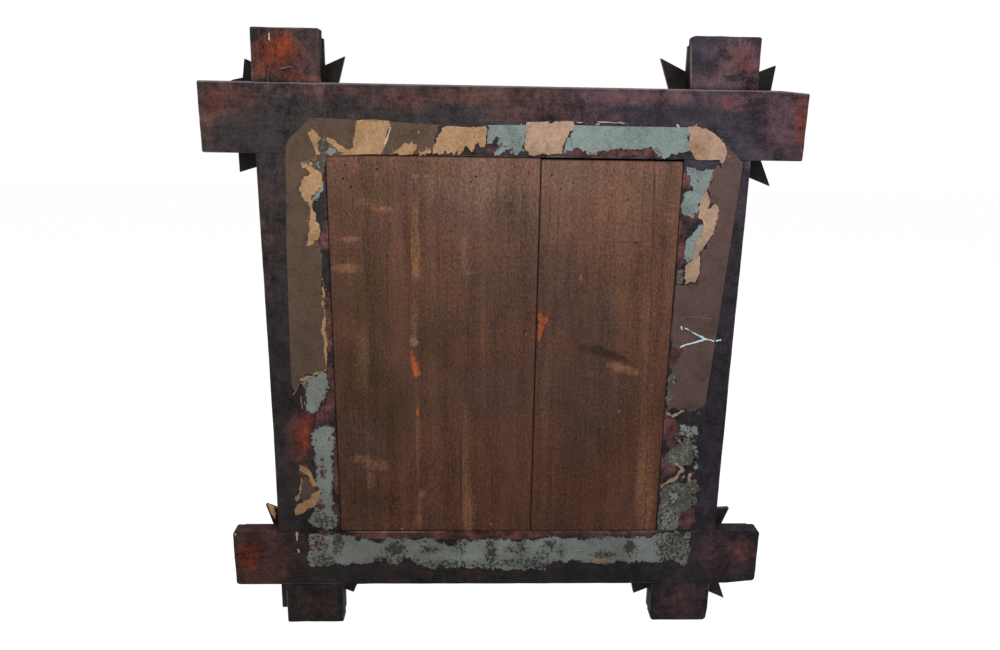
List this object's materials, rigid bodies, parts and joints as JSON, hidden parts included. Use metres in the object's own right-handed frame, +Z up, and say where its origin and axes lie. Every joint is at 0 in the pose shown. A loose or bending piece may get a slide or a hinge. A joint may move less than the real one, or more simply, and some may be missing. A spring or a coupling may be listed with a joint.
{
  "type": "wall mirror",
  "caption": "Wall mirror in a cross-corner frame of half-lapped bars with layered notch-carved wood and corner stars.",
  "frame": {"origin": "middle of the frame on its flush back plane, on the wide backing board", "axes": "+Z up, +Y out of the back towards the wall, +X to the right of someone facing the glass"},
  "size_m": [0.61, 0.0464, 0.662],
  "materials": {
    "bar_wood": "dark worn stain with red wood showing through",
    "carved_wood": "dark stained knife-carved softwood",
    "board_wood": "rough sawn, bare and aged",
    "silvered_glass": "old silvered glass",
    "brown_paper": "dirty glued paper",
    "tan_paper": "torn paper core",
    "green_paper": "pale green glued paper",
    "nail_iron": "dull forged iron"
  },
  "bodies": {
    "root": {"board_brads": "nail_iron", "bottom_facing": "carved_wood", "bottom_left_boss": "carved_wood", "bottom_left_rail_end_facing": "carved_wood", "bottom_left_small_star": "carved_wood", "bottom_left_star": "carved_wood", "bottom_lower_tier": "carved_wood", "bottom_paper": "green_paper", "bottom_rail": "bar_wood", "bottom_rail_left_end_cap": "carved_wood", "bottom_rail_left_end_tier": "carved_wood", "bottom_rail_right_end_cap": "carved_wood", "bottom_rail_right_end_tier": "carved_wood", "bottom_right_boss": "carved_wood", "bottom_right_rail_end_facing": "carved_wood", "bottom_right_small_star": "carved_wood", "bottom_right_star": "carved_wood", "bottom_upper_tier": "carved_wood", "clinched_nails": "nail_iron", "lap_nails": "nail_iron", "left_facing": "carved_wood", "left_lower_tier": "carved_wood", "left_paper": "brown_paper", "left_stile": "bar_wood", "left_stile_bottom_end_cap": "carved_wood", "left_stile_bottom_end_tier": "carved_wood", "left_stile_top_end_cap": "carved_wood", "left_stile_top_end_tier": "carved_wood", "left_upper_tier": "carved_wood", "mirror_glass": "silvered_glass", "narrow_backing_board": "board_wood", "right_facing": "carved_wood", "right_lower_tier": "carved_wood", "right_paper": "brown_paper", "right_stile": "bar_wood", "right_stile_bottom_end_cap": "carved_wood", "right_stile_bottom_end_tier": "carved_wood", "right_stile_top_end_cap": "carved_wood", "right_stile_top_end_tier": "carved_wood", "right_upper_tier": "carved_wood", "star_nails": "nail_iron", "top_facing": "carved_wood", "top_left_boss": "carved_wood", "top_left_rail_end_facing": "carved_wood", "top_left_small_star": "carved_wood", "top_left_star": "carved_wood", "top_lower_tier": "carved_wood", "top_paper": "tan_paper", "top_rail": "bar_wood", "top_rail_left_end_cap": "carved_wood", "top_rail_left_end_tier": "carved_wood", "top_rail_right_end_cap": "carved_wood", "top_rail_right_end_tier": "carved_wood", "top_right_boss": "carved_wood", "top_right_rail_end_facing": "carved_wood", "top_right_small_star": "carved_wood", "top_right_star": "carved_wood", "top_upper_tier": "carved_wood", "wide_backing_board": "board_wood"}
  },
  "joints": []
}
